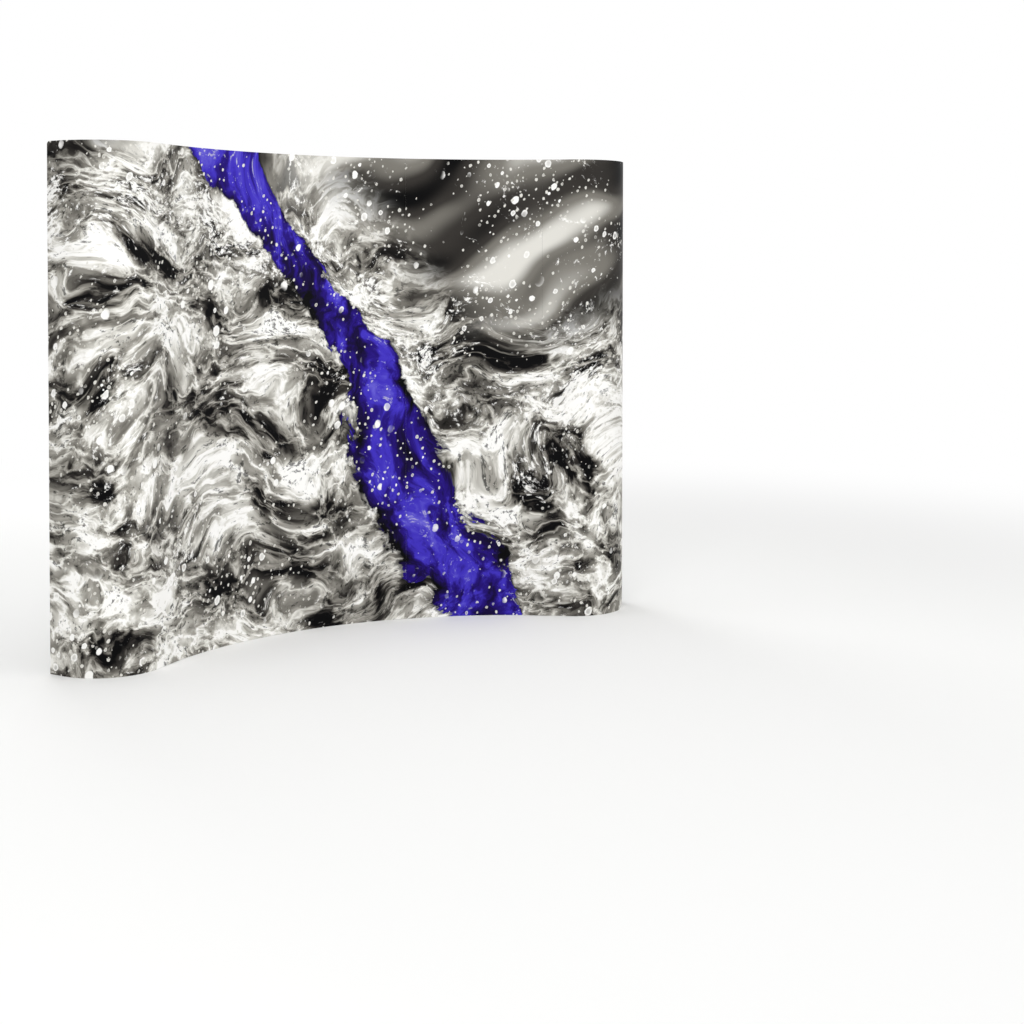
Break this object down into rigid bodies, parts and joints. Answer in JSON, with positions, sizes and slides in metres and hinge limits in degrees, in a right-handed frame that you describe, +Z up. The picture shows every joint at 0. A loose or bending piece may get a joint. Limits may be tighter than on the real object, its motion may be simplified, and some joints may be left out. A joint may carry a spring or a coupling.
{
  "type": "pop up display backwall",
  "caption": "Free-standing curved display wall: a folding scissor frame of crossed tubes and hubs, with hung channel bars, printed panels and curled end panels.",
  "frame": {"origin": "on the floor, under the middle of the bounding box", "axes": "+Z up, +X to the right of someone who looks at the print, and the print faces -Y"},
  "size_m": [2.93, 0.6384, 2.2347],
  "materials": {
    "print": "satin laminate over a print",
    "moulding": "fine moulded texture",
    "tube": "satin anodised",
    "channel": "satin powder coat"
  },
  "bodies": {
    "frame": {"front_hub_c1_r1": "moulding", "rear_hub_c1_r1": "moulding", "front_hub_c1_r2": "moulding", "rear_hub_c1_r2": "moulding", "front_hub_c1_r3": "moulding", "rear_hub_c1_r3": "moulding", "front_hub_c1_r4": "moulding", "rear_hub_c1_r4": "moulding", "front_hub_c4_r1": "moulding", "rear_hub_c4_r1": "moulding", "front_hub_c4_r2": "moulding", "rear_hub_c4_r2": "moulding", "front_hub_c4_r3": "moulding", "rear_hub_c4_r3": "moulding", "front_hub_c4_r4": "moulding", "rear_hub_c4_r4": "moulding", "locked_hubs_c2_r1": "moulding", "locked_hubs_c2_r2": "moulding", "locked_hubs_c2_r3": "moulding", "locked_hubs_c2_r4": "moulding", "locked_hubs_c3_r1": "moulding", "locked_hubs_c3_r2": "moulding", "locked_hubs_c3_r3": "moulding", "locked_hubs_c3_r4": "moulding", "cross_tubes_b1_r1": "tube", "cross_tubes_b1_r2": "tube", "cross_tubes_b1_r3": "tube", "cross_tubes_b1_r4": "tube", "cross_tubes_b2_r1": "tube", "cross_tubes_b2_r2": "tube", "cross_tubes_b2_r3": "tube", "cross_tubes_b2_r4": "tube", "cross_tubes_b3_r1": "tube", "cross_tubes_b3_r2": "tube", "cross_tubes_b3_r3": "tube", "cross_tubes_b3_r4": "tube", "upright_tubes_c1_l1": "tube", "upright_tubes_c1_l2": "tube", "upright_tubes_c1_l3": "tube", "upright_tubes_c2_l1": "tube", "upright_tubes_c2_l2": "tube", "upright_tubes_c2_l3": "tube", "upright_tubes_c3_l1": "tube", "upright_tubes_c3_l2": "tube", "upright_tubes_c3_l3": "tube", "upright_tubes_c4_l1": "tube", "upright_tubes_c4_l2": "tube", "upright_tubes_c4_l3": "tube"},
    "bar_1": {"channel_bar_c1": "channel"},
    "bar_2": {"channel_bar_c2": "channel"},
    "bar_3": {"channel_bar_c3": "channel"},
    "bar_4": {"channel_bar_c4": "channel"},
    "panel_1": {"front_panel_1": "print"},
    "panel_2": {"front_panel_2": "print"},
    "panel_3": {"front_panel_3": "print"},
    "left_end": {"end_panel_left": "print"},
    "right_end": {"end_panel_right": "print"}
  },
  "joints": [
    {"name": "bar_1_lift", "type": "slide", "parent": "frame", "child": "bar_1", "axis": [0, 0, 1], "range_m": [0, 0.012]},
    {"name": "bar_2_lift", "type": "slide", "parent": "frame", "child": "bar_2", "axis": [0, 0, 1], "range_m": [0, 0.012]},
    {"name": "bar_3_lift", "type": "slide", "parent": "frame", "child": "bar_3", "axis": [0, 0, 1], "range_m": [0, 0.012]},
    {"name": "bar_4_lift", "type": "slide", "parent": "frame", "child": "bar_4", "axis": [0, 0, 1], "range_m": [0, 0.012]},
    {"name": "panel_1_lift", "type": "slide", "parent": "frame", "child": "panel_1", "axis": [0, 0, 1], "range_m": [0, 0.008]},
    {"name": "panel_2_lift", "type": "slide", "parent": "frame", "child": "panel_2", "axis": [0, 0, 1], "range_m": [0, 0.008]},
    {"name": "panel_3_lift", "type": "slide", "parent": "frame", "child": "panel_3", "axis": [0, 0, 1], "range_m": [0, 0.008]},
    {"name": "left_end_lift", "type": "slide", "parent": "frame", "child": "left_end", "axis": [0, 0, 1], "range_m": [0, 0.008]},
    {"name": "right_end_lift", "type": "slide", "parent": "frame", "child": "right_end", "axis": [0, 0, 1], "range_m": [0, 0.008]}
  ]
}
